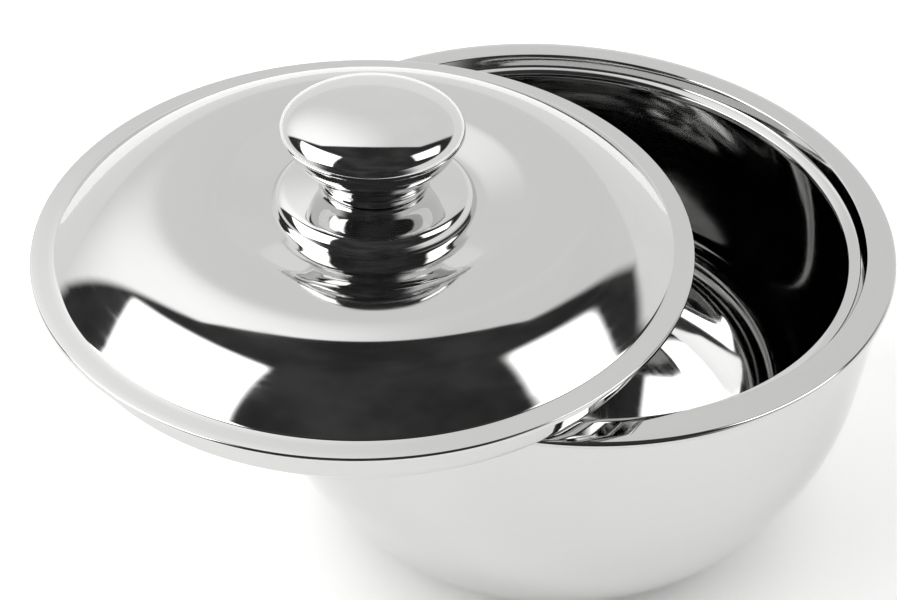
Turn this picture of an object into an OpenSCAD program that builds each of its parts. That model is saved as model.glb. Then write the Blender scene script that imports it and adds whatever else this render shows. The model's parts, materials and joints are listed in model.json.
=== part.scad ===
// Insulated double-wall steel casserole for flatbread, with its lift-off lid lying across the rim.
// Millimetres, +Z up. The origin is on the bowl's axis, in the plane that it stands on.
// Every shell is a sheet of steel drawn to a profile, and each profile is worked out below.

/* [Bowl] */
// Outside diameter of the bowl's flat rim
rim_d = 222; // [185:1:270]
// Height of the rim above the table
bowl_h = 119; // [99:1:145]
// Width of the flat rim
flange_w = 9.9; // [8:0.1:12]
// Depth of the steep step inside the rim
step_drop = 4.5; // [3:0.1:6]
// How far the step leans inwards
step_lean = 2.1; // [1.5:0.1:3]
// Width of the ledge that carries the closed lid
ledge_w = 3; // [2.5:0.1:4]
// Fall of the ledge towards the food
ledge_drop = 3; // [2:0.1:4]
// Height of the food floor above the table
floor_h = 18; // [16:0.5:30]
// Radius between the liner's wall and its floor
liner_corner = 36; // [28:1:44]
// Height of the belly's widest circle, where the straight wall starts
belly_h = 76; // [64:1:90]
// Radius of the casing's belly
belly_r = 94; // [86:1:112]
// Radius of the corner where the belly turns under
foot_corner = 6; // [4:0.5:8]
// Width of the flat foot that the bowl stands on
foot_w = 9; // [6:0.5:12]

/* [Steel and fits] */
// Thickness of the drawn steel
steel_t = 0.7; // [0.5:0.1:0.9]
// Inside radius of the small bends
bend_in = 0.5; // [0.3:0.1:1]
// Inside radius of the edges that are folded tight
crimp_in = 0.2; // [0.1:0.05:0.4]
// Clearance between pieces that nest
fit_gap = 0.1; // [0.05:0.05:0.2]
// Clearance under the loose lid
lid_gap = 0.1; // [0.05:0.05:0.3]

/* [Base] */
// Height of the recessed base above the table
base_recess = 3; // [2.5:0.1:4]
// How far the recess leans inwards
base_lean = 1.5; // [1:0.1:3]
// Width of the flange inside the foot that the base plate lies on
base_flange_w = 8; // [6:0.5:10]
// Play between the base plate's edge and the recess
base_play = 2; // [1:0.1:3]
// Width of the base plate's flat border
base_border_w = 20.9; // [15:0.1:25]
// Height of the step pressed in the base plate
base_step = 1.5; // [1:0.1:2]
// How far that step leans inwards
base_step_lean = 3; // [2:0.1:4]
// Diameter of the hole that the foam goes in by
filler_d = 12; // [8:0.5:16]
// Width of the plug's lips
plug_lip = 1.5; // [1:0.1:2]

/* [Lid] */
// Play between the closed lid's rim and the step around it
lid_play = 0.6; // [0.4:0.1:1]
// Width of the lid's flat rim
lid_flange_w = 6.4; // [5:0.1:8]
// Depth of the skirt below the lid's rim
skirt_h = 14.1; // [11:0.1:17]
// Play between the skirt and the food liner
skirt_play = 2; // [1.5:0.1:3]
// How far the skirt narrows towards its lower edge
skirt_taper = 0.6; // [0:0.1:1]
// Radius at the skirt's lower edge
skirt_corner = 3; // [2:0.1:4]
// Height of the dome's crest above the lid's rim
crest_h = 13; // [9:0.5:18]
// Radius of the crest
crest_r = 62; // [56:1:68]
// How square the shoulder is outside the crest
shoulder_power = 1.7; // [1.4:0.1:2.4]
// Radius of the flat dish round the knob
dish_r = 38; // [34:1:44]
// Height of the dish above the lid's rim
dish_h = 0.8; // [0:0.1:3]
// How far the lid has been pushed off the bowl's axis
lid_shift = 70.3; // [60:0.1:75]

/* [Knob] */
// Radius of the collar where it stands on the lid
collar_foot_r = 24.8; // [23:0.1:26]
// How fast the collar flares towards its bead
collar_flare = 1.5; // [1.2:0.1:2]
// Radius of the collar's bead
bead_r = 30.6; // [29:0.1:36]
// Height of the bead's middle above the dish
bead_h = 8; // [7:0.1:10]
// Radius of the bead's section
bead_round = 1.1; // [1:0.1:1.6]
// Fall of the collar's top from the bead in to the neck
bead_fall = 0.6; // [0:0.1:1]
// Radius of the collar's neck at its root
neck_root_r = 19.1; // [18.5:0.1:22]
// Radius at the neck's root
root_round = 1.2; // [0.5:0.1:2]
// Radius of the neck at its top
neck_top_r = 17.5; // [16:0.1:18]
// Height of the neck's top above the dish
neck_h = 14.4; // [13:0.1:18]
// Radius of the knob's stem where it meets the neck
stem_r = 15.8; // [13:0.1:16.5]
// Width of the lip turned in under the stem
stem_lip_w = 3; // [2:0.1:4]
// Height of the straight foot of the stem
stem_foot_h = 2; // [1.5:0.1:3]
// How early the stem starts to flare, below 1 for sooner
stem_flare = 0.7; // [0.5:0.05:1]
// Radius of the cap at its widest
cap_r = 26.6; // [22:0.1:32]
// Height of the widest circle above the neck's top
cap_h = 20; // [16.5:0.1:24]
// Height of the cap's straight edge
cap_edge = 0.5; // [0.3:0.1:1]
// Rise of the cap above its edge
cap_rise = 7.5; // [6:0.1:10]

/* [Screw] */
// Diameter of the knob's screw
screw_d = 5; // [4:0.5:6]
// How far the screw reaches into the knob's core
screw_grip = 10; // [6:0.5:13]
// Diameter of the screw's head
head_d = 9.5; // [8:0.5:11]
// Height of the screw's head
head_h = 3; // [2:0.5:4]
// Width and depth of the slot in the screw's head
slot_w = 1.2; // [0.8:0.1:1.6]
// Diameter of the flat washer
washer_d = 13; // [11:0.5:15]
// Thickness of the flat washer
washer_t = 1; // [0.8:0.1:1.5]
// Diameter of the split lock washer
spring_d = 9.5; // [8:0.5:11]
// Thickness of the split lock washer
spring_t = 1.2; // [0.8:0.1:1.5]
// Width of the split
spring_cut = 1.2; // [0.8:0.1:2]
// Diameter of the threaded core in the knob
core_d = 13; // [10:0.5:16]
// Thickness of the core's flange
core_flange_t = 1.5; // [1:0.1:2]
// Solid end of the core above its hole
core_end = 3; // [2:0.5:5]
// Room left in the foam round the washer and the screw's head
pocket_play = 1; // [0.5:0.1:2]

/* [Hidden] */
$fn = 120;
// Angle between the points of an arc of 1 mm radius, less on larger ones
arc_step = 25;
// Points in each curve that isn't an arc
curve_n = 16;
// How far a cutting shape runs past what it cuts
past = 1;

// Steel, worked out from its thickness
nest = steel_t + fit_gap;
bend_r = steel_t + bend_in;
crimp_r = steel_t + crimp_in;

// Bowl, worked out from its rim
rim_r = rim_d / 2;
throat_r = rim_r - flange_w;
ledge_r = throat_r - step_lean;
wall_r = ledge_r - ledge_w;
step_z = bowl_h - step_drop;
ledge_z = step_z - ledge_drop;
hem_r = steel_t + (steel_t + 2 * fit_gap) / 2;
casing_r = rim_r - hem_r - steel_t;
lip_r = rim_r - hem_r + fit_gap;
lip_z = bowl_h - steel_t - nest;
belly_c = [casing_r - belly_r, belly_h];
corner_reach = belly_r - foot_corner;
foot_turn = asin((belly_h - foot_corner) / corner_reach);
foot_c = [belly_c[0] + corner_reach * cos(foot_turn), foot_corner];
foot_in_r = foot_c[0] - foot_w;
recess_r = foot_in_r - base_lean;
base_open_r = recess_r - base_flange_w;
base_z = base_recess + nest;
base_plate_r = recess_r - base_play;
base_step_r = base_plate_r - base_border_w;
base_top = base_z + base_step;
filler_r = filler_d / 2;
foam_z = base_top + nest;
plug_top = foam_z + plug_lip;

// Lid, worked out from the seat that it drops into
lid_r = ledge_r - lid_play;
lid_flange_in = lid_r - lid_flange_w;
skirt_top_r = wall_r - skirt_play;
skirt_low_r = skirt_top_r - skirt_taper;
pan_z = -steel_t - nest;
lid_z = bowl_h + lid_gap + skirt_h;
lid_place = [-lid_shift, 0, lid_z];

// Knob, stacked on the dish
collar_z = dish_h + fit_gap;
bead_c = [bead_r - bead_round, dish_h + bead_h];
bead_top = bead_c[1] + bead_round;
neck_z = collar_z + neck_h;
stem_z = neck_z + fit_gap;
flare_z = stem_z + stem_foot_h;
cap_z = neck_z + cap_h;
core_top = stem_z + fit_gap + screw_grip + core_end;
screw_r = screw_d / 2;
hole_r = screw_r + 2 * fit_gap;
washer_z = dish_h - nest - washer_t;
spring_z = washer_z - fit_gap - spring_t;
head_z = spring_z - fit_gap;
head_low = head_z - head_h;
pocket_r = max(washer_d, head_d) / 2 + pocket_play;

// Numbers from 0 to 1, for the curves that aren't arcs
even = [for (i = [0:curve_n]) i / curve_n];

// Points on an arc round c, from angle a to angle b
function arc(c, r, a, b) =
  let (n = max(2, ceil(abs(b - a) * sqrt(r) / arc_step)))
  [for (i = [0:n]) c + r * [cos(a + (b - a) * i / n), sin(a + (b - a) * i / n)]];

// Unit vector from a to b
function way(a, b) = (b - a) / norm(b - a);

// The corner at b of a line that comes from a and goes on to c, rounded to radius r
function corner(a, b, c, r) =
  let (u = way(b, a), v = way(b, c), half = acos(u * v) / 2,
       m = b + (u + v) / norm(u + v) * r / sin(half),
       s = b + u * r / tan(half) - m,
       e = b + v * r / tan(half) - m,
       a0 = atan2(s[1], s[0]))
  arc(m, r, a0, a0 + atan2(s[0] * e[1] - s[1] * e[0], s * e));

// A path without points that repeat
function clean(p) = [for (i = [0:len(p) - 1]) if (i == 0 || norm(p[i] - p[i - 1]) > 0.001) p[i]];

// A path through corners written as [radius, height, rounding], where rounding 0 is sharp
function path(c) = clean([for (i = [0:len(c) - 1]) each c[i][2] > 0
  ? corner(flat(c[i - 1]), flat(c[i]), flat(c[i + 1]), c[i][2])
  : [flat(c[i])]]);
function flat(c) = [c[0], c[1]];

// Unit normal to the left of the way from a to b
function left(a, b) = [a[1] - b[1], b[0] - a[0]] / norm(b - a);

// Point i of path p moved t to its left, along the bisector of its two sides
function moved(p, i, t) =
  let (u = left(p[max(i - 1, 0)], p[max(i, 1)]),
       v = left(p[min(i, len(p) - 2)], p[min(i + 1, len(p) - 1)]),
       w = u + v)
  p[i] + 2 * t / (w * w) * w;

// The whole path moved t to its left
function beside(p, t) = [for (i = [0:len(p) - 1]) moved(p, i, t)];

// The path walked the other way
function back(p) = [for (i = [len(p) - 1:-1:0]) p[i]];

// Outline of a sheet whose left face follows the path, kept off the far side of the axis
function sheet(p, t) = concat(p, [for (q = back(beside(p, -t))) [max(q[0], 0), q[1]]]);

// Smooth rise from 0 to 1 with level ends
function ease(u) = (1 - cos(180 * u)) / 2;

// Food side of the liner as corners, from its centre out to the flat rim
liner_corners = [
  [0, floor_h, 0],
  [wall_r, floor_h, liner_corner],
  [wall_r, ledge_z, bend_r],
  [ledge_r, step_z, bend_r],
  [throat_r, bowl_h, bend_r]];

// The liner with its rim and the hem that is rolled under it, round the casing's lip
liner_path = path(concat(liner_corners, [
  [rim_r, bowl_h, hem_r],
  [rim_r, bowl_h - 2 * hem_r, hem_r],
  [casing_r + fit_gap, bowl_h - 2 * hem_r, 0]]));

// Outside of the casing's wall, from its foot up to its lip
wall_path = clean(concat(
  arc(foot_c, foot_corner, -90, -foot_turn),
  arc(belly_c, belly_r, -foot_turn, 0),
  [[casing_r, lip_z]]));

// Outside of the whole casing, from the opening in its base up to its lip
casing_path = clean(concat(
  path([
    [base_open_r, base_recess, 0],
    [recess_r, base_recess, bend_r],
    [foot_in_r, 0, bend_r],
    [foot_c[0], 0, 0]]),
  wall_path,
  [[lip_r, lip_z]]));

// Underside of the base plate, from the filler hole out to its edge
base_path = path([
  [filler_r, base_top, 0],
  [base_step_r - base_step_lean, base_top, bend_r],
  [base_step_r, base_z, bend_r],
  [base_plate_r, base_z, 0]]);

// Top of the lid's dome as corners, from the screw hole out to the foot of its shoulder
dome_corners = concat(
  [[hole_r, dish_h, 0]],
  [for (u = even) [dish_r + (crest_r - dish_r) * u, dish_h + (crest_h - dish_h) * ease(u), 0]],
  [for (i = [1:curve_n - 1]) let (u = even[i])
    [crest_r + (lid_flange_in - crest_r) * u, crest_h * (1 - pow(u, shoulder_power)), 0]],
  [[lid_flange_in, 0, bend_r]]);

// The dome with its flat rim and its edge, folded down over the pan's edge
dome_path = path(concat(dome_corners, [[lid_r, 0, crimp_r], [lid_r, pan_z, 0]]));

// Outside of the lid's pan as corners, from its centre out and up to the top of its skirt
pan_corners = [
  [0, -skirt_h, 0],
  [skirt_low_r, -skirt_h, skirt_corner],
  [skirt_top_r, pan_z, bend_r]];

// The pan with the flange that lies under the lid's rim
pan_path = path(concat(pan_corners, [[lid_r - nest, pan_z, 0]]));

// Underside of the knob, from its foot on the neck out to the cap's widest circle
stem_path = clean(concat(
  path([[stem_r - stem_lip_w, stem_z, 0], [stem_r, stem_z, crimp_r], [stem_r, flare_z, 0]]),
  [for (u = even) [stem_r + (cap_r - stem_r) * ease(pow(u, stem_flare)),
                   flare_z + (cap_z - flare_z) * u]]));

// Top of the knob's cap, from its centre out to the widest circle and down its edge
cap_path = concat(
  [for (u = even) [cap_r * sin(90 * u), cap_z + cap_edge + cap_rise * cos(90 * u)]],
  [[cap_r, cap_z + fit_gap]]);

// Outside of the collar, from where it stands on the dish up to the hole for the screw
bead_path = arc(bead_c, bead_round, -45, 90);
collar_path = clean(concat(
  [for (u = even) [collar_foot_r + (bead_path[0][0] - collar_foot_r) * pow(u, collar_flare),
                   collar_z + (bead_path[0][1] - collar_z) * u]],
  bead_path,
  path([
    [bead_c[0], bead_top, 0],
    [neck_root_r, bead_top - bead_fall, root_round],
    [neck_top_r, neck_z, crimp_r],
    [hole_r, neck_z, 0]])));

// A closed profile turned round the axis
module turned(outline) {
  rotate_extrude() polygon(outline);
}

// Everything on the lid is drawn round the lid's own axis, from its rim up
module on_lid() {
  translate(lid_place) children();
}

// A flat ring from height z up
module ring(outer, inner, z, h) {
  translate([0, 0, z]) difference() {
    cylinder(r = outer, h = h);
    translate([0, 0, -past]) cylinder(r = inner, h = h + 2 * past);
  }
}

module inner_bowl() {
  color("silver") turned(sheet(liner_path, steel_t));
}

module outer_shell() {
  color("gainsboro") turned(sheet(back(casing_path), steel_t));
}

// Foam that fills the bowl's double wall
module bowl_insulation() {
  color("khaki") difference() {
    turned(concat(
      beside(path(concat(liner_corners, [[casing_r - nest, bowl_h, 0]])), -nest),
      back(beside(wall_path, nest)),
      [[0, steel_t]]));
    translate([0, 0, -past]) cylinder(r = rim_r, h = foam_z + past);
    cylinder(r = filler_r + plug_lip, h = plug_top + fit_gap);
  }
}

// Plate that closes the casing's base, with the hole that the foam goes in by
module base_cap() {
  color("lightgray") turned(sheet(back(base_path), steel_t));
}

// Plug with a lip on each side of the base plate
module filler_plug() {
  color("dimgray") turned([
    [0, base_top - fit_gap - plug_lip],
    [filler_r + plug_lip, base_top - fit_gap - plug_lip],
    [filler_r + plug_lip, base_top - fit_gap],
    [filler_r - fit_gap, base_top - fit_gap],
    [filler_r - fit_gap, foam_z],
    [filler_r + plug_lip / 2, foam_z],
    [filler_r - fit_gap, plug_top],
    [0, plug_top]]);
}

module lid_dome() {
  color("silver") on_lid() turned(sheet(dome_path, steel_t));
}

module lid_pan() {
  color("gainsboro") on_lid() turned(sheet(back(pan_path), steel_t));
}

// Foam that fills the lid, with a pocket round the screw's head
module lid_insulation() {
  color("khaki") on_lid() difference() {
    turned(concat(
      [[0, dish_h - nest]],
      beside(path(concat(dome_corners, [[skirt_top_r - nest, 0, 0]])), -nest),
      back(beside(path([pan_corners[0], pan_corners[1], [skirt_top_r, pan_z, 0]]), nest))));
    translate([0, 0, head_low - pocket_play])
      cylinder(r = pocket_r, h = dish_h - head_low + pocket_play);
  }
}

module knob_collar() {
  color("silver") on_lid() turned(sheet(back(collar_path), steel_t));
}

module knob_stem() {
  color("silver") on_lid() turned(sheet(back(stem_path), steel_t));
}

module knob_cap() {
  color("silver") on_lid() turned(sheet(cap_path, steel_t));
}

// Threaded boss that fills the stem's foot and takes the screw
module knob_core() {
  color("goldenrod") on_lid() difference() {
    union() {
      translate([0, 0, stem_z]) cylinder(d = core_d, h = core_top - stem_z);
      translate([0, 0, stem_z + nest]) cylinder(r = stem_r - nest - crimp_in, h = core_flange_t);
    }
    translate([0, 0, stem_z - past])
      cylinder(r = screw_r + fit_gap, h = core_top - core_end - stem_z + past);
  }
}

// Pan-head screw, put in from inside the lid before the pan closes it
module knob_screw() {
  color("darkgray") on_lid() difference() {
    union() {
      translate([0, 0, head_low]) cylinder(d = head_d, h = head_h);
      translate([0, 0, head_z]) cylinder(r = screw_r, h = stem_z + screw_grip - head_z);
    }
    translate([-head_d / 2 - past, -slot_w / 2, head_low - past])
      cube([head_d + 2 * past, slot_w, slot_w + past]);
  }
}

module knob_washer() {
  color("lightgray") on_lid() ring(washer_d / 2, hole_r, washer_z, washer_t);
}

// Lock washer, split on one side
module spring_washer() {
  color("dimgray") on_lid() difference() {
    ring(spring_d / 2, hole_r, spring_z, spring_t);
    translate([0, -spring_cut / 2, spring_z - past])
      cube([spring_d, spring_cut, spring_t + 2 * past]);
  }
}

inner_bowl();
outer_shell();
bowl_insulation();
base_cap();
filler_plug();
lid_dome();
lid_pan();
lid_insulation();
knob_collar();
knob_stem();
knob_cap();
knob_core();
knob_screw();
knob_washer();
spring_washer();
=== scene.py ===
import json
import math

import bpy
import numpy as np
from mathutils import Matrix, Vector


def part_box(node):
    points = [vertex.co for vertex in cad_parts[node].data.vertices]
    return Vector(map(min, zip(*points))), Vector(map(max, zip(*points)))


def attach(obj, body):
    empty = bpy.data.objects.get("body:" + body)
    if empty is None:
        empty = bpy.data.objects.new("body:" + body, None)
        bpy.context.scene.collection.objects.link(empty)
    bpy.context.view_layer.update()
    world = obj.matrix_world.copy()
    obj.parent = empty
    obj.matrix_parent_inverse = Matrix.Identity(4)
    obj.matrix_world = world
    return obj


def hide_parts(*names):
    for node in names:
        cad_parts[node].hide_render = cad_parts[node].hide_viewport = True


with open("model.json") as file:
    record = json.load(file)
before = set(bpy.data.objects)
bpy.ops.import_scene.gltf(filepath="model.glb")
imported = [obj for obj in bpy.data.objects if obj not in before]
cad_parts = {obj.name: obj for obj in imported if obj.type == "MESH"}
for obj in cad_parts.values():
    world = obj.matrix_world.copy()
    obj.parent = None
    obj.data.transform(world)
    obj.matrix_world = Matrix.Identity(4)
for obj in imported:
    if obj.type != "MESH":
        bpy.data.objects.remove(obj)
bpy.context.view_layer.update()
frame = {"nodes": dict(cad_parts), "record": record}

# The casserole's sheet steel is made here as seven pieces: liner, casing, dome, pan, collar, stem
# and cap. Each is a sheet carried along a profile and turned round its axis. The lid's foam is
# turned in the same way, as a solid. The seven other CAD pieces, such as the base plate and the
# screw, keep their shapes and only get their finishes.
#
# Profiles are (radius, height) pairs in millimetres, and become metres when a mesh is made.

MM = 0.001


def top_of(node):
    """Height of a CAD node's highest point, in millimetres."""
    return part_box(node)[1].z / MM


def foot_of(node):
    """Height of a CAD node's lowest point, in millimetres."""
    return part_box(node)[0].z / MM


def axis_of(node):
    """X of a round CAD node's upright axis, in millimetres."""
    low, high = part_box(node)
    return (low.x + high.x) / 2 / MM


def radius_of(node):
    """Largest radius of a round CAD node, in millimetres, read off its width along Y."""
    low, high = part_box(node)
    return (high.y - low.y) / 2 / MM


# Fineness of the shapes
PATH_STEP = 0.05  # between the points of a profile
PICK_STEP = 0.03  # between the finer points that a mesh's rows are picked from
ARC_POINTS = 60  # on an arc
CURVE_POINTS = 80  # on another curve that a formula gives
EDGE_POINTS = 11  # round the edge of a sheet
SEGMENTS = 256  # round a turned piece
MAP_UNIT = 100.0  # length along a profile that counts as 1 in the map
TINY = 1e-6  # a shorter length or a smaller radius counts as none

# Sheet steel
STEEL = 0.7  # thickness
CREVICE = 0.1  # gap between two sheets that lie on each other
FOLD = 2 * STEEL + CREVICE  # two sheets and the gap between them
SKIN = 0.02  # how far a new piece stays inside the CAD model's box

# Bowl
RIM_R = radius_of("inner_bowl") - SKIN
RIM_Z = top_of("inner_bowl")
HEM_R = 1.5 * STEEL + CREVICE  # half the rolled hem, which holds three sheets and two gaps
FLANGE_W = 9.9  # flat rim, hem included
STEP_DROP = 4.5  # from the rim to the ledge
STEP_LEAN = 1.5  # how much further in the step's foot is than its top
LEDGE_W = 3.6
LEDGE_DROP = 1.1  # fall of the ledge from the step to the wall
LINER_DEPTH = 101.0  # from the rim to the floor
LINER_CORNER = 36.0  # radius between floor and wall
CASING_WALL_H = 43.0  # straight part of the wall, under the rim
BELLY_R = 94.0  # radius of the wall's curve, under the straight part
FOOT_CORNER = 6.0  # radius from the belly to the foot's flat
FOOT_W = 9.0
BASE_RECESS = 3.0  # from the foot up to the flange that holds the base plate
BASE_FLANGE_W = 8.0

# Lid, from its own axis and the plane of its rim
LID_R = radius_of("lid_dome") - SKIN
LID_X = axis_of("lid_dome")
LID_FLANGE_W = 6.4  # flat rim
LID_EDGE = 0.2  # bevel that starts the rim's edge
SKIRT_H = 14.1  # from the rim to the underside
SKIRT_TOP_R = 94.0
SKIRT_LOW_R = 93.4
SKIRT_CORNER = 3.0
BEND_W = 0.4  # the bend from the skirt to the flange over it
BEND_H = 0.5
LID_Z = foot_of("lid_pan") + SKIRT_H
CREST_R = 62.0  # highest circle, where the shoulder starts
CREST_H = 13.0
SHOULDER_POWER = 1.7  # 2 is a parabola, and less is straighter
RING_R = 46.5  # inner edge of the nearly level ring inside the crest
RING_H = 12.4
RING_ROUND = 1.2  # softness of the bends from the dish to the crest
DISH_R = 32.5  # edge of the dish's level floor
DISH_H = 8.8
SEAT_R = 14.0  # flat that the screw's washers press on, under the collar
SEAT_H = 0.8
SEAT_OUT_R = 22.0  # where the seat's sloping side meets the dish
FOAM_SHORT_W = 0.5  # how far the foam stops short of the skirt
FOAM_SHORT_H = 1.2  # and of the sheets in the rim
POCKET_R = 8.0  # hollow in the foam for the screw's head
POCKET_GAP = 0.5
POCKET_Z = foot_of("knob_screw") - LID_Z - POCKET_GAP

# Knob, from the lid's axis and the plane of its rim
HOLE_R = 2.7  # for the screw
COLLAR_R = 30.6
COLLAR_Z = 8.5  # height of the middle of the collar's round edge
COLLAR_ROUND = 5.2
COLLAR_SLOPE = 9.7  # of the collar's top, in degrees
COLLAR_TOP = 15.3
COLLAR_GAP = 0.05  # between the dish and the collar's edge
COLLAR_FLAT = 0.4  # level top of the collar that shows round the stem
STEM_R = 16.0
STEM_Z = COLLAR_TOP + CREVICE
STEM_ROUND = 0.9
STEM_FOOT_H = 2.0
STEM_FOOT_W = 3.0
FLARE_POWER = 0.8  # under 1 the flare starts sooner
CAP_R = radius_of("knob_cap") - SKIN
CAP_Z = COLLAR_TOP + 18.2  # height of the cap's widest circle
CAP_RISE = 8.5
CAP_FULLNESS = 2.15  # 2 is an ellipse, and more is squarer
CAP_ROUND = 1.6
CAP_TUCK = 80.0  # how far the cap's edge turns in, in degrees


# ---------------------------------------------------------------- profiles

def arc(centre, radius, start, end):
    """Points on a circle: centre plus radius times the cosine and sine of angles from start to
    end, in degrees."""
    a = np.radians(np.linspace(start, end, ARC_POINTS))
    return np.stack([centre[0] + radius * np.cos(a), centre[1] + radius * np.sin(a)], 1)


def ease(u):
    """Half a cosine wave, rising from 0 to 1 with level ends."""
    return (1 - np.cos(np.pi * u)) / 2


def walk(*stretches, step=PATH_STEP):
    """Joins points and curves into one path with a point every step of its length."""
    path = np.vstack([np.atleast_2d(np.asarray(s, float)) for s in stretches])
    gaps = np.hypot(*np.diff(path, axis=0).T)
    path = path[np.concatenate([[True], gaps > TINY])]
    along = np.concatenate([[0], np.cumsum(np.hypot(*np.diff(path, axis=0).T))])
    spots = np.linspace(0, along[-1], int(along[-1] / step) + 1)
    return np.stack([np.interp(spots, along, path[:, k]) for k in (0, 1)], 1)


def softened(path, reach):
    """Rounds every corner by averaging the path with a bell curve of that reach, cut off at three
    reaches. An end on the axis is mirrored over it, so that it stays level, and any other end is
    carried straight on."""
    half = int(3 * reach / PATH_STEP)
    bell = np.exp(-0.5 * (np.arange(-half, half + 1) * PATH_STEP / reach) ** 2)
    bell /= bell.sum()

    def beyond(ends):
        if ends[0, 0] < TINY:
            return (ends[1:] * [-1, 1])[::-1]
        return (2 * ends[0] - ends[1:])[::-1]

    head = beyond(path[: half + 1])
    tail = beyond(path[::-1][: half + 1])[::-1]
    longer = np.vstack([head, path, tail])
    return np.stack([np.convolve(longer[:, k], bell, "valid") for k in (0, 1)], 1)


def side_of(path):
    """Unit normals to the left of a path, from central differences of its points."""
    way = np.gradient(path, axis=0)
    way /= np.hypot(*way.T)[:, None]
    return np.stack([-way[:, 1], way[:, 0]], 1)


def sheet(path):
    """Outline of a sheet of steel: the path itself, a half-round edge at each end that isn't on
    the axis, and the same path moved by the sheet's thickness to the right, walked back."""
    normal = side_of(path)
    other = path - STEEL * normal
    turn = np.linspace(0, np.pi, EDGE_POINTS + 2)[1:-1, None]

    def edge(a, b, outward):
        middle = (a + b) / 2
        return middle + (a - middle) * np.cos(turn) + outward * STEEL / 2 * np.sin(turn)

    stretches = [path]
    if path[-1, 0] > TINY:
        stretches.append(edge(path[-1], other[-1], np.array([normal[-1, 1], -normal[-1, 0]])))
    stretches.append(other[::-1])
    if path[0, 0] > TINY:
        stretches.append(edge(other[0], path[0], np.array([-normal[0, 1], normal[0, 0]])))
    return np.vstack(stretches)


def crowded(outline, closed, count):
    """Picks count points of an outline, evenly over its length plus an equal share for how much
    it turns, so that they crowd in tight curves. Gives the points, their outward normals, which
    are on the outline's left, and their lengths along it."""
    fine = walk(np.vstack([outline, outline[:1]]) if closed else outline, step=PICK_STEP)
    normal = side_of(fine)
    turned = np.abs(np.diff(np.unwrap(np.arctan2(normal[:, 1], normal[:, 0]))))
    turned = np.concatenate([[0], np.cumsum(turned)])
    pace = np.linspace(0, 1, len(fine)) + turned / turned[-1]
    index = np.arange(len(fine))
    at = np.interp(np.linspace(0, pace[-1], count, endpoint=not closed), pace, index)

    def picked(pairs):
        return np.stack([np.interp(at, index, pairs[:, k]) for k in (0, 1)], 1)

    normals = picked(normal)
    return picked(fine), normals / np.hypot(*normals.T)[:, None], at * PICK_STEP


def turned_mesh(name, outline, axis_x, base_z, count):
    """A closed surface of revolution. Vertex (i, j) lies at profile point i, at the angle
    2 pi j / SEGMENTS round an upright axis at axis_x. A profile that starts and ends on the axis
    is closed there by one point and a fan of triangles. The map "spin" holds the turn, from 0
    to 1, and the length along the profile, in units of MAP_UNIT."""
    closed = outline[0, 0] > TINY
    points, normals, along = crowded(outline, closed, count)
    if not closed:
        points[[0, -1], 0] = 0.0
        normals[0], normals[-1] = (0, np.sign(normals[0, 1])), (0, np.sign(normals[-1, 1]))
    rows = slice(None) if closed else slice(1, -1)
    rings = len(points[rows])
    angle = 2 * np.pi * np.arange(SEGMENTS) / SEGMENTS
    circle = np.stack([np.cos(angle), np.sin(angle)], 1)

    def spun(pairs):
        level = pairs[:, None, :1] * circle
        upright = np.broadcast_to(pairs[:, None, 1:], (rings, SEGMENTS, 1))
        return np.concatenate([level, upright], 2).reshape(-1, 3)

    spots = spun(points[rows]) + [axis_x, 0, base_z]
    facing = spun(normals[rows])
    i, j = np.meshgrid(np.arange(rings if closed else rings - 1), np.arange(SEGMENTS), indexing="ij")
    corners = [(i, j), (i + 1, j), (i + 1, j + 1), (i, j + 1)]
    quads = np.stack([(ci % rings) * SEGMENTS + cj % SEGMENTS for ci, cj in corners], -1)
    faces = quads.reshape(-1, 4).tolist()
    length = along / MAP_UNIT
    row_length = np.append(length[rows], length[-1] + (length[1] - length[0]))
    quad_map = np.stack([np.stack([cj / SEGMENTS, row_length[ci]], -1) for ci, cj in corners], 2)
    maps = [quad_map.reshape(-1, 2)]

    if not closed:
        poles = np.column_stack([[axis_x] * 2, [0, 0], base_z + points[[0, -1], 1]])
        spots = np.vstack([spots, poles])
        facing = np.vstack([facing, np.column_stack([[0, 0], [0, 0], normals[[0, -1], 1]])])
        near = np.arange(SEGMENTS)
        far = (near + 1) % SEGMENTS
        last = (rings - 1) * SEGMENTS
        for pole, one, two, first_turn, at_pole, at_ring in (
                (len(spots) - 2, near, far, 0, length[0], length[1]),
                (len(spots) - 1, last + far, last + near, 1, length[-1], length[-2])):
            faces += np.stack([np.full(SEGMENTS, pole), one, two], 1).tolist()
            turn = np.stack([near + 0.5, near + first_turn, near + 1 - first_turn], 1) / SEGMENTS
            fan_length = np.tile([at_pole, at_ring, at_ring], (SEGMENTS, 1))
            maps.append(np.stack([turn, fan_length], 2).reshape(-1, 2))

    mesh = bpy.data.meshes.new(name)
    mesh.from_pydata((spots * MM).tolist(), [], faces)
    layer = mesh.uv_layers.new(name="spin")
    layer.data.foreach_set("uv", np.concatenate(maps).astype(np.float32).reshape(-1))
    mesh.shade_smooth()
    mesh.normals_split_custom_set_from_vertices(facing.tolist())
    piece = bpy.data.objects.new(name, mesh)
    bpy.context.scene.collection.objects.link(piece)
    return piece


# ---------------------------------------------------------------- shapes of the pieces

def liner_profile():
    """Food side of the liner: floor, corner, wall, ledge, step, flat rim and rolled hem."""
    throat = RIM_R - FLANGE_W
    ledge = throat - STEP_LEAN
    wall = ledge - LEDGE_W
    floor = RIM_Z - LINER_DEPTH
    return softened(walk(
        [0, floor],
        arc((wall - LINER_CORNER, floor + LINER_CORNER), LINER_CORNER, -90, 0),
        [wall, RIM_Z - STEP_DROP - LEDGE_DROP],
        [ledge, RIM_Z - STEP_DROP],
        [throat, RIM_Z],
        arc((RIM_R - HEM_R, RIM_Z - HEM_R), HEM_R, 90, -90)), reach=0.3)


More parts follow.
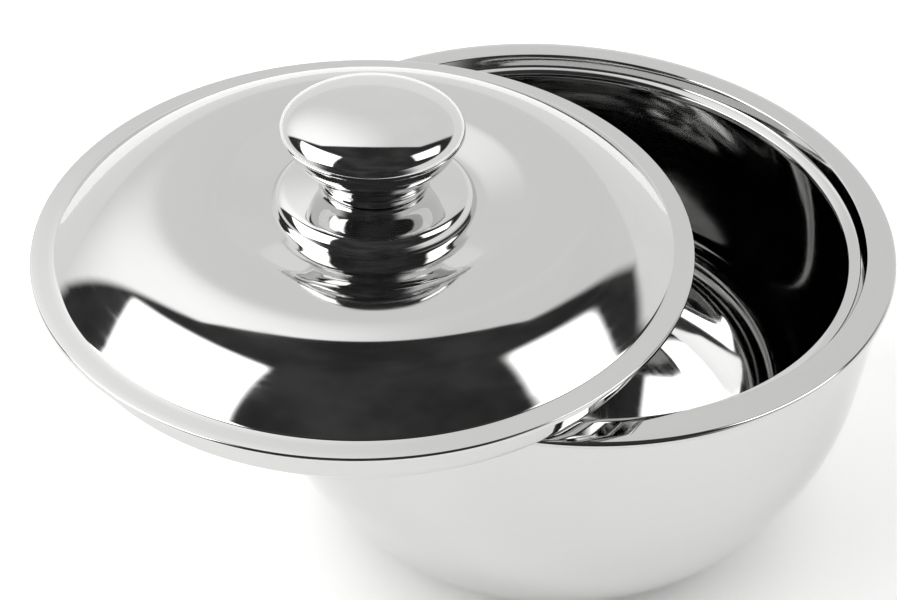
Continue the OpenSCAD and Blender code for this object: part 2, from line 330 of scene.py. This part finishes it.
def casing_profile():
    """Outside of the casing: base flange, foot, belly and straight wall up to the hem. The foot's
    corner touches the belly's circle from inside, at the angle whose sine is the difference of
    their heights over the difference of their radii."""
    wall = RIM_R - HEM_R - STEEL
    centre = (wall - BELLY_R, RIM_Z - CASING_WALL_H)
    reach = BELLY_R - FOOT_CORNER
    turn = math.degrees(math.asin((centre[1] - FOOT_CORNER) / reach))
    foot_x = centre[0] + reach * math.cos(math.radians(turn))
    foot_in = foot_x - FOOT_W
    recess = foot_in - BASE_RECESS / 2
    return softened(walk(
        [recess - BASE_FLANGE_W, BASE_RECESS],
        [recess, BASE_RECESS],
        [foot_in, SKIN],
        arc((foot_x, FOOT_CORNER + SKIN), FOOT_CORNER, -90, -turn),
        arc(centre, BELLY_R, -turn, 0),
        [wall, RIM_Z - FOLD]), reach=0.5)


def dome_profile():
    """Top of the lid: seat for the screw's washers, dish, straight rise to a broad ring that is
    almost level, then a shoulder that falls with a power of its distance from the crest, and the
    rim."""
    flange_in = LID_R - LID_FLANGE_W
    r = np.linspace(CREST_R, flange_in, CURVE_POINTS)
    fall = ((r - CREST_R) / (flange_in - CREST_R)) ** SHOULDER_POWER
    shoulder = np.stack([r, CREST_H * (1 - fall)], 1)
    seat = [[HOLE_R, SEAT_H], [SEAT_R, SEAT_H], [SEAT_OUT_R, DISH_H]]
    top = softened(walk(seat, [DISH_R, DISH_H], [RING_R, RING_H], shoulder), RING_ROUND)
    edge = [[LID_R - LID_EDGE, 0], [LID_R, -LID_EDGE], [LID_R, -FOLD]]
    return softened(walk(top, edge), reach=0.35)


def pan_profile():
    """Underside of the lid: flat pan, rounded corner, skirt and the flange under the rim."""
    base = SKIN - SKIRT_H
    return softened(walk(
        [0, base],
        arc((SKIRT_LOW_R - SKIRT_CORNER, base + SKIRT_CORNER), SKIRT_CORNER, -90, 0),
        [SKIRT_TOP_R, -FOLD - BEND_H],
        [SKIRT_TOP_R + BEND_W, -FOLD],
        [LID_R - STEEL - CREVICE, -FOLD]), reach=0.25)


def lid_foam_profile():
    """The space between the lid's two sheets, less a pocket under the screw's head. Each face is a
    sheet's path moved along its normals by the sheet and a gap."""
    over, under = dome_profile(), pan_profile()
    over = over - (STEEL + CREVICE) * side_of(over)
    under = under + (STEEL + CREVICE) * side_of(under)
    over = over[(over[:, 0] > POCKET_R) & (over[:, 0] < SKIRT_TOP_R - STEEL - FOAM_SHORT_W)]
    under = under[under[:, 1] < -2 * STEEL - FOAM_SHORT_H]
    return np.vstack([[0, POCKET_Z], [POCKET_R, POCKET_Z], over, under[::-1]])


def collar_profile():
    """Outside of the knob's collar: a full round edge that meets the dish just above the middle of
    its height, and a top that rises gently to the knob's foot."""
    centre = (COLLAR_R - COLLAR_ROUND, COLLAR_Z)
    low = math.degrees(math.asin((DISH_H + COLLAR_GAP - COLLAR_Z) / COLLAR_ROUND))
    return softened(walk(
        arc(centre, COLLAR_ROUND, low, 90 - COLLAR_SLOPE),
        [STEM_R + COLLAR_FLAT, COLLAR_TOP],
        [HOLE_R, COLLAR_TOP]), reach=0.2)


def stem_profile():
    """Underside of the knob: rounded foot, then a waist that flares out to the edge of the cap.
    The flare's radius is eased over its height, which is first taken to FLARE_POWER."""
    u = np.linspace(0, 1, CURVE_POINTS)
    start_r, start_z = STEM_R, STEM_Z + STEM_FOOT_H
    end_r, end_z = CAP_R - CAP_ROUND, CAP_Z - CAP_ROUND
    flare = np.stack([start_r + (end_r - start_r) * ease(u ** FLARE_POWER),
                      start_z + (end_z - start_z) * u], 1)
    return softened(walk(
        [STEM_R - STEM_FOOT_W, STEM_Z],
        arc((STEM_R - STEM_ROUND, STEM_Z + STEM_ROUND), STEM_ROUND, -90, 0),
        flare), reach=0.2)


def cap_profile():
    """Top of the knob's cap: the shares of its height and of its radius, each to the power of
    CAP_FULLNESS, add up to one. A round edge turns in under it."""
    a = np.linspace(0, np.pi / 2, 2 * CURVE_POINTS)
    power = 2 / CAP_FULLNESS
    crown = np.stack([CAP_R * np.sin(a) ** power, CAP_Z + CAP_RISE * np.cos(a) ** power], 1)
    edge = arc((CAP_R - CAP_ROUND, CAP_Z), CAP_ROUND, 0, -CAP_TUCK)
    return softened(walk(crown, edge), reach=0.2)


# ---------------------------------------------------------------- materials

class Wires:
    """Short ways to add nodes to one tree. A value given to an input is a socket or a number."""

    def __init__(self, tree):
        self.tree = tree

    def node(self, kind, **settings):
        made = self.tree.nodes.new("ShaderNode" + kind)
        for key, value in settings.items():
            setattr(made, key, value)
        return made

    def put(self, socket, value):
        """Links a socket to an input, or sets the input to a number."""
        if isinstance(value, bpy.types.NodeSocket):
            self.tree.links.new(value, socket)
        else:
            socket.default_value = value

    def fill(self, made, *values):
        """Puts values into a node's first inputs, and gives its outputs."""
        for socket, value in zip(made.inputs, values):
            self.put(socket, value)
        return made.outputs

    def calc(self, operation, *values):
        return self.fill(self.node("Math", operation=operation), *values)[0]

    def split(self, vector):
        return self.fill(self.node("SeparateXYZ"), vector)

    def join(self, x, y, z):
        return self.fill(self.node("CombineXYZ"), x, y, z)[0]

    def dot(self, a, b):
        return self.fill(self.node("VectorMath", operation="DOT_PRODUCT"), a, b)["Value"]

    def ramp(self, value, low, high, start=0.0, end=1.0):
        """Goes from start to end, with level ends, while the value goes from low to high."""
        made = self.node("MapRange", interpolation_type="SMOOTHSTEP")
        return self.fill(made, value, low, high, start, end)[0]

    def mix(self, share, a, b):
        made = self.node("Mix", data_type="RGBA")
        colours = [socket for socket in made.inputs if socket.type == "RGBA"]
        for socket, value in zip((made.inputs[0], *colours), (share, a, b)):
            self.put(socket, value)
        return next(socket for socket in made.outputs if socket.type == "RGBA")

    def noise(self, place, scale, detail, rough=0.5):
        made = self.node("TexNoise")
        for key, value in (("Vector", place), ("Scale", scale), ("Detail", detail), ("Roughness", rough)):
            self.put(made.inputs[key], value)
        return made.outputs[0]

    def group(self, tree, **values):
        made = self.node("Group", node_tree=tree)
        for key, value in values.items():
            self.put(made.inputs[key.replace("_", " ")], value)
        return made.outputs[0]


def new_group(name, output, **inputs):
    """A node group that puts out one number: its wires, its input sockets and its output socket.
    Each input has its first value, or None where it is a vector."""
    tree = bpy.data.node_groups.new(name, "ShaderNodeTree")
    for label, value in inputs.items():
        kind = "NodeSocketVector" if value is None else "NodeSocketFloat"
        socket = tree.interface.new_socket(label.replace("_", " "), in_out="INPUT", socket_type=kind)
        if value is not None:
            socket.default_value = value
    tree.interface.new_socket(output, in_out="OUTPUT", socket_type="NodeSocketFloat")
    given = tree.nodes.new("NodeGroupInput").outputs
    return Wires(tree), given, tree.nodes.new("NodeGroupOutput").inputs[0]


def polish_marks():
    """Buffing marks that run round a spun piece. The map's turn goes in as its cosine and sine,
    so the marks have no seam; the length along the profile is stretched, so each mark is thin."""
    w, given, mark = new_group("polish_marks", "Mark", Map=None, Fineness=60.0, Length=2.0)
    turn, length, _ = w.split(given["Map"])
    angle = w.calc("MULTIPLY", turn, 2 * math.pi)
    across = w.calc("MULTIPLY", length, given["Fineness"])
    round_x = w.calc("MULTIPLY", w.calc("COSINE", angle), given["Length"])
    round_y = w.calc("MULTIPLY", w.calc("SINE", angle), given["Length"])
    w.put(mark, w.noise(w.join(across, round_x, round_y), scale=1.0, detail=3.0, rough=0.6))
    return w.tree


def lathe_marks():
    """Fine rings round an upright axis: noise whose place is the distance from the axis and the
    height, both stretched."""
    w, given, mark = new_group("lathe_marks", "Mark", Place=None, Fineness=3000.0)
    x, y, z = w.split(given["Place"])
    far = w.calc("SQRT", w.calc("ADD", w.calc("POWER", x, 2.0), w.calc("POWER", y, 2.0)))
    across = w.calc("MULTIPLY", far, given["Fineness"])
    up = w.calc("MULTIPLY", z, given["Fineness"])
    w.put(mark, w.noise(w.join(across, 0.0, up), scale=1.0, detail=3.0, rough=0.6))
    return w.tree


def smudges():
    """Cloudy patches where the polish is dulled: broad noise, cut so that only its peaks are left,
    and broken up by noise nine times as fine."""
    w, given, smudge = new_group("smudges", "Smudge", Place=None, Scale=14.0, Amount=0.5)
    broad = w.noise(given["Place"], given["Scale"], detail=3.0, rough=0.55)
    fine = w.noise(given["Place"], w.calc("MULTIPLY", given["Scale"], 9.0), detail=3.0, rough=0.6)
    peaks = w.ramp(broad, low=0.5, high=0.78)
    broken = w.ramp(fine, low=0.25, high=0.75)
    w.put(smudge, w.calc("MULTIPLY", w.calc("MULTIPLY", peaks, broken), given["Amount"]))
    return w.tree


def waviness():
    """How far a drawn sheet is from its true shape, in metres: two slow noises, the finer one a
    quarter as high."""
    w, given, height = new_group("waviness", "Height", Place=None, Scale=16.0, Depth=0.00004)
    slow = w.noise(given["Place"], given["Scale"], detail=0.0)
    fast = w.noise(given["Place"], w.calc("MULTIPLY", given["Scale"], 3.7), detail=1.0)
    both = w.calc("MULTIPLY_ADD", fast, 0.25, slow)
    w.put(height, w.calc("MULTIPLY", both, given["Depth"]))
    return w.tree


MARKS, RINGS, SMUDGES, WAVES = polish_marks(), lathe_marks(), smudges(), waviness()


def begin(name, **uniform):
    """A new material with its wires and its shader, whose uniform values are set on its sockets."""
    mat = bpy.data.materials.new(name)
    mat.use_nodes = True
    shader = mat.node_tree.nodes["Principled BSDF"]
    for key, value in uniform.items():
        shader.inputs[key.replace("_", " ")].default_value = value
    return mat, Wires(mat.node_tree), shader.inputs


def bump(w, shader, height):
    """Raises a surface by a height in metres."""
    made = w.node("Bump")
    made.inputs["Distance"].default_value = 1.0
    w.put(made.inputs["Height"], height)
    w.put(shader["Normal"], made.outputs[0])


# Mirror steel
MARK_DEPTH = 0.00000025  # of a buffing mark, in metres
MARK_ROUGH = (0.75, 1.7)  # shares of a steel's roughness, between its marks and in them
SMUDGE_ROUGH = 0.09  # roughness that a full smudge adds
CLEAN_TINT = (1.0, 1.0, 0.995)  # shares of a steel's tone
DULL_TINT = (0.92, 0.915, 0.905)


def mirror_steel(name, tone, rough, wave, wave_scale):
    """Polished stainless steel: slow waves in the sheet, buffing marks round it, dulled smudges.
    Half of a smudge and a quarter of a mark go into the share of the dull tint."""
    mat, w, shader = begin(name, Metallic=1.0)
    coord = w.node("TexCoord").outputs
    marks = w.group(MARKS, Map=coord["UV"])
    patch = w.group(SMUDGES, Place=coord["Object"])
    waves = w.group(WAVES, Place=coord["Object"], Scale=wave_scale, Depth=wave)
    polish = w.ramp(marks, low=0.35, high=0.8, start=rough * MARK_ROUGH[0], end=rough * MARK_ROUGH[1])
    w.put(shader["Roughness"], w.calc("MULTIPLY_ADD", patch, SMUDGE_ROUGH, polish))
    clean, dull = ((*(tone * part for part in tint), 1) for tint in (CLEAN_TINT, DULL_TINT))
    dullness = w.calc("MULTIPLY_ADD", patch, 0.5, w.calc("MULTIPLY", marks, 0.25))
    w.put(shader["Base Color"], w.mix(dullness, clean, dull))
    bump(w, shader, w.calc("MULTIPLY_ADD", marks, MARK_DEPTH, waves))
    return mat


def ringed_metal(name, light, dark, rough, axis_x=0.0, cut=0.00001):
    """Metal turned or pressed on a lathe: rings round its axis, cut to a depth in metres, and
    tarnish in cloudy patches. Rings and patches together take it to twice its roughness."""
    mat, w, shader = begin(name, Metallic=1.0)
    centred = w.node("Mapping")
    w.put(centred.inputs["Vector"], w.node("TexCoord").outputs["Object"])
    centred.inputs["Location"].default_value = (-axis_x * MM, 0, 0)
    place = centred.outputs[0]
    rings = w.group(RINGS, Place=place)
    tarnish = w.group(SMUDGES, Place=place, Scale=60.0, Amount=0.9)
    wear = w.calc("ADD", rings, tarnish)
    w.put(shader["Roughness"], w.ramp(wear, low=0.3, high=1.3, start=rough, end=rough * 2))
    darkness = w.calc("MULTIPLY_ADD", rings, 0.4, tarnish)
    w.put(shader["Base Color"], w.mix(darkness, (*light, 1), (*dark, 1)))
    bump(w, shader, w.calc("MULTIPLY", rings, cut))
    return mat


def rigid_foam(name):
    """Poured foam: closed cells a millimetre across, which stand out a quarter of one between
    their walls, darker in the walls and in cloudy patches."""
    mat, w, shader = begin(name, Roughness=0.85)
    place = w.node("TexCoord").outputs["Object"]
    cells = w.node("TexVoronoi", feature="DISTANCE_TO_EDGE")
    w.put(cells.inputs["Vector"], place)
    cells.inputs["Scale"].default_value = 900.0
    domed = w.ramp(cells.outputs[0], low=0.0, high=0.12)
    cloud = w.noise(place, scale=45.0, detail=3.0, rough=0.6)
    dark, pale = (0.62, 0.50, 0.27, 1), (0.93, 0.85, 0.62, 1)
    w.put(shader["Base Color"], w.mix(w.calc("MULTIPLY", domed, cloud), dark, pale))
    bump(w, shader, w.calc("MULTIPLY", domed, 0.00025))
    return mat


def moulded_rubber(name):
    """Black rubber: fine grain, and dust that settles in cloudy patches."""
    mat, w, shader = begin(name)
    place = w.node("TexCoord").outputs["Object"]
    grain = w.noise(place, scale=2600.0, detail=3.0, rough=0.65)
    dust = w.group(SMUDGES, Place=place, Scale=90.0, Amount=0.8)
    black, grey = (0.03, 0.03, 0.032, 1), (0.11, 0.105, 0.1, 1)
    w.put(shader["Base Color"], w.mix(dust, black, grey))
    wear = w.calc("ADD", grain, dust)
    w.put(shader["Roughness"], w.ramp(wear, low=0.3, high=1.3, start=0.5, end=0.8))
    bump(w, shader, w.calc("MULTIPLY", grain, 0.00004))
    return mat


# ---------------------------------------------------------------- pieces and their finishes

# Name, profile, CAD node that it stands in for, body, material slot, points of its profile. A
# sheet's visible face is on its path's left, so a path drawn the other way is turned round.
pieces = [
    ("liner", liner_profile(), "inner_bowl", "bowl", "liner_steel", 170),
    ("casing", casing_profile()[::-1], "outer_shell", "bowl", "casing_steel", 150),
    ("dome", dome_profile(), "lid_dome", "lid", "lid_steel", 190),
    ("pan", pan_profile()[::-1], "lid_pan", "lid", "lid_steel", 110),
    ("collar", collar_profile()[::-1], "knob_collar", "lid", "knob_steel", 130),
    ("stem", stem_profile()[::-1], "knob_stem", "lid", "knob_steel", 110),
    ("cap", cap_profile(), "knob_cap", "lid", "knob_steel", 130),
    ("lid_foam", lid_foam_profile(), "lid_insulation", "lid", "foam", 120),
]
finishes = {
    "liner_steel": mirror_steel("liner_steel", tone=0.62, rough=0.05, wave=0.00004, wave_scale=14.0),
    "casing_steel": mirror_steel("casing_steel", tone=0.64, rough=0.09, wave=0.00005, wave_scale=12.0),
    "lid_steel": mirror_steel("lid_steel", tone=0.64, rough=0.05, wave=0.00005, wave_scale=13.0),
    "knob_steel": mirror_steel("knob_steel", tone=0.67, rough=0.045, wave=0.00001, wave_scale=45.0),
    "foam": rigid_foam("foam"),
    "plug_rubber": moulded_rubber("plug_rubber"),
    "brass": ringed_metal("brass", (0.80, 0.58, 0.27), (0.52, 0.34, 0.14), 0.22, LID_X),
    "zinc_steel": ringed_metal("zinc_steel", (0.66, 0.67, 0.69), (0.42, 0.42, 0.41), 0.3, LID_X),
}
base_plate_steel = ringed_metal(
    "base_plate_steel", (0.64, 0.64, 0.63), (0.50, 0.49, 0.48), 0.1, cut=0.000002)

for name, path, node, body, slot, count in pieces:
    axis_x, base_z = (LID_X, LID_Z) if body == "lid" else (0.0, 0.0)
    outline = path if slot == "foam" else sheet(path)
    piece = turned_mesh(name, outline, axis_x, base_z, count)
    piece.data.materials.append(finishes[slot])
    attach(piece, body)
    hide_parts(node)

replaced = [row[2] for row in pieces]
for part in frame["record"]["subparts"]:
    node = part["node"]
    if node not in replaced:
        finish = base_plate_steel if node == "base_cap" else finishes[part["material_slot"]]
        for holder in frame["nodes"][node].material_slots:
            holder.material = finish


# ---------------------------------------------------------------- camera, table and lights

# Camera, from a fit of the rims and the knob to the photograph
CAMERA_AZIMUTH = -33.4  # of the eye round the bowl, in degrees
CAMERA_ELEVATION = 35.59
CAMERA_REACH = 419.96  # from the middle of the bowl's rim, in millimetres
CAMERA_AIM = (-19.14, -46.82)  # X and Y in the plane of the bowl's rim, in millimetres
CAMERA_ROLL = 6.748
CAMERA_LENS = 49.575
CAMERA_SENSOR = 36
CAMERA_SHIFT = -0.161
CAMERA_NEAR = 0.01

# Table and overhead light, in metres and degrees
TABLE_FRONT = 0.45  # from the bowl's axis to the table's near edge
TABLE_REACH = 6.0  # from the bowl's axis to its other edges
TABLE_WHITE = (0.82, 0.82, 0.815, 1)
TABLE_GLOW = 0.42  # painted light that the table gives off on top of its white, away from the bowl
PAINTED_SHADOW_FADE = (0.05, 0.12)  # distances from the bowl's axis between which the painted glow comes up; nearer in, its lack is a painted shadow round the bowl's foot
OVERHEAD = 0.3  # in watts per square metre
OVERHEAD_SPREAD = 100
OVERHEAD_LEAN = -20

# What the steel mirrors. Directions are azimuth and elevation in degrees, and turn is a panel's
# roll. A panel's edges are tangents of the angles from its middle, and soft is their blur.
SWEEP = dict(azimuth=-8, elevation=0, turn=0, left=-1.6, right=1.25, low=-9.0, high=2.75, soft=0.12)
LEFT_BOX = dict(azimuth=-100, elevation=46, turn=-47,
                left=-0.31, right=0.35, low=-0.60, high=0.28, soft=0.03)
RIGHT_BOX = dict(azimuth=78, elevation=49, turn=-38,
                 left=-0.18, right=0.16, low=-0.22, high=0.21, soft=0.05)
SWEEP_LIGHT = 0.86
HOT_SPOT = (-75, 50)  # direction in which the sweep is brightest
HOT_SPOT_LIGHT = 0.6
BAND_LIGHT = 0.95
BAND_TOP = (0.32, 0.40)  # sines of the elevations where the band fades out
BAND_TILT = 0.13  # how much higher its top is to the picture's right
BAND_ENDS = (-0.75, -0.4)  # cosines from straight ahead where it fades in
ROOM_LIGHT = (0.028, 0.06)
BOX_LIGHT = 4.0
LIGHT_TINT = (1.0, 0.998, 0.992)


def place_camera():
    """The eye is CAMERA_REACH from the centre of the bowl's rim, at the photograph's angle, and
    looks at a point in the rim's plane. The roll turns its right hand up."""
    az, el = math.radians(CAMERA_AZIMUTH), math.radians(CAMERA_ELEVATION)
    outward = Vector((math.sin(az) * math.cos(el), -math.cos(az) * math.cos(el), math.sin(el)))
    eye = Vector((0, 0, RIM_Z)) + CAMERA_REACH * outward
    ahead = (Vector((*CAMERA_AIM, RIM_Z)) - eye).normalized()
    level = ahead.cross(Vector((0, 0, 1))).normalized()
    over = level.cross(ahead)
    roll = math.radians(CAMERA_ROLL)
    right = level * math.cos(roll) + over * math.sin(roll)
    up = right.cross(ahead)
    data = bpy.data.cameras.new("camera")
    data.sensor_width = CAMERA_SENSOR
    data.lens = CAMERA_LENS
    data.shift_x = CAMERA_SHIFT
    data.clip_start = CAMERA_NEAR
    camera = bpy.data.objects.new("camera", data)
    turn = Matrix((right, up, -ahead)).transposed().to_4x4()
    camera.matrix_world = Matrix.Translation(eye * MM) @ turn
    bpy.context.scene.collection.objects.link(camera)
    bpy.context.scene.camera = camera


def direction(azimuth, elevation):
    """Unit vector. Azimuth 0 points away from the camera, and 90 to the picture's right."""
    a, e = math.radians(azimuth - CAMERA_AZIMUTH), math.radians(elevation)
    return Vector((math.sin(a) * math.cos(e), math.cos(a) * math.cos(e), math.sin(e)))


def pale_table():
    """A white table that ends a little in front of the bowl, where the dark room begins. It glows with
    painted light, which fades out near the bowl into a painted contact shadow.
    """
    ahead, right = direction(0, 0), direction(90, 0)
    corners = [right * x + ahead * y for x, y in (
        (-TABLE_REACH, -TABLE_FRONT), (TABLE_REACH, -TABLE_FRONT),
        (TABLE_REACH, TABLE_REACH), (-TABLE_REACH, TABLE_REACH))]
    mesh = bpy.data.meshes.new("floor")
    mesh.from_pydata(corners, [], [(0, 1, 2, 3)])
    floor = bpy.data.objects.new("floor", mesh)
    bpy.context.scene.collection.objects.link(floor)
    mat, w, shader = begin("pale_floor", Base_Color=TABLE_WHITE, Roughness=0.6,
                           Emission_Strength=TABLE_GLOW)
    # Painted shadow: the table's glow is held back near the bowl's axis, so the table darkens round the
    # bowl's foot.
    far = w.fill(w.node("VectorMath", operation="LENGTH"), w.node("TexCoord").outputs["Object"])
    painted_glow_share = w.ramp(far["Value"], *PAINTED_SHADOW_FADE)
    w.put(shader["Emission Color"], w.mix(painted_glow_share, (0, 0, 0, 1), (1, 1, 0.995, 1)))
    mesh.materials.append(mat)


def overhead_light():
    """Broad soft light from above, seen by matt surfaces only: the steel has the studio's."""
    data = bpy.data.lights.new("overhead", "SUN")
    data.energy = OVERHEAD
    data.angle = math.radians(OVERHEAD_SPREAD)
    lamp = bpy.data.objects.new("overhead", data)
    lamp.rotation_euler = (math.radians(OVERHEAD_LEAN), 0, 0)
    lamp.visible_glossy = False
    bpy.context.scene.collection.objects.link(lamp)


def light_panel():
    """A soft-edged rectangle of light, seen by direction: the direction is cut with the plane that
    faces Middle, and its place there is held between the edges along Right and Up."""
    w, given, light_out = new_group(
        "light_panel", "Light", Direction=None, Middle=None, Right=None, Up=None,
        Left_edge=-1.0, Right_edge=1.0, Low_edge=-1.0, High_edge=1.0, Softness=0.05)
    ahead = w.dot(given["Direction"], given["Middle"])
    distance = w.calc("MAXIMUM", ahead, 0.001)
    light = w.ramp(ahead, low=0.0, high=0.05)
    within = w.calc("MULTIPLY", given["Softness"], -1.0)
    for along, low, high in (("Right", "Left edge", "Right edge"), ("Up", "Low edge", "High edge")):
        place = w.calc("DIVIDE", w.dot(given["Direction"], given[along]), distance)
        for edge, sign in ((low, 1.0), (high, -1.0)):
            inside = w.calc("MULTIPLY", w.calc("SUBTRACT", place, given[edge]), sign)
            light = w.calc("MULTIPLY", light, w.ramp(inside, within, given["Softness"]))
    w.put(light_out, light)
    return w.tree


def studio():
    """What the steel mirrors: a white sweep behind the table with a hot spot at its left, a low
    white band all round but on the camera's side, a dark room over and behind the camera, and a
    soft box on each side. A camera ray sees plain white."""
    world = bpy.data.worlds.new("studio")
    bpy.context.scene.world = world
    world.use_nodes = True
    w = Wires(world.node_tree)
    panel = light_panel()
    toward = w.node("TexCoord").outputs["Generated"]
    height = w.split(toward)["Z"]

    def lit(azimuth, elevation, turn, left, right, low, high, soft):
        """One panel of light, rolled by its turn about the direction it lies in."""
        middle = direction(azimuth, elevation)
        level = direction(azimuth + 90, 0)
        over = level.cross(middle)
        t = math.radians(turn)
        return w.group(panel, Direction=toward, Middle=middle,
                       Right=level * math.cos(t) + over * math.sin(t),
                       Up=over * math.cos(t) - level * math.sin(t),
                       Left_edge=left, Right_edge=right, Low_edge=low, High_edge=high, Softness=soft)

    hot_spot = w.ramp(w.dot(toward, direction(*HOT_SPOT)), low=0.7, high=1.0, end=HOT_SPOT_LIGHT)
    sweep = w.calc("MULTIPLY", lit(**SWEEP), w.calc("ADD", hot_spot, SWEEP_LIGHT))
    tilt = w.calc("MULTIPLY", w.dot(toward, direction(90, 0)), BAND_TILT)
    under_top = w.ramp(w.calc("SUBTRACT", height, tilt), *BAND_TOP, start=1.0, end=0.0)
    off_camera = w.ramp(w.dot(toward, direction(0, 0)), *BAND_ENDS)
    band = w.calc("MULTIPLY", w.calc("MULTIPLY", under_top, off_camera), BAND_LIGHT)
    clutter = w.noise(toward, scale=2.2, detail=3.0, rough=0.6)
    room = w.ramp(clutter, 0.35, 0.7, *ROOM_LIGHT)
    light = w.calc("ADD", w.calc("MAXIMUM", sweep, band), room)
    boxes = w.calc("MULTIPLY", w.calc("ADD", lit(**LEFT_BOX), lit(**RIGHT_BOX)), BOX_LIGHT)
    total = w.calc("ADD", light, boxes)
    colour = w.join(*(w.calc("MULTIPLY", total, part) for part in LIGHT_TINT))
    camera_ray = w.node("LightPath").outputs["Is Camera Ray"]
    background = world.node_tree.nodes["Background"]
    w.put(background.inputs["Color"], w.mix(camera_ray, colour, (1, 1, 1, 1)))


place_camera()
pale_table()
overhead_light()
studio()
bpy.context.scene.view_settings.view_transform = "Standard"
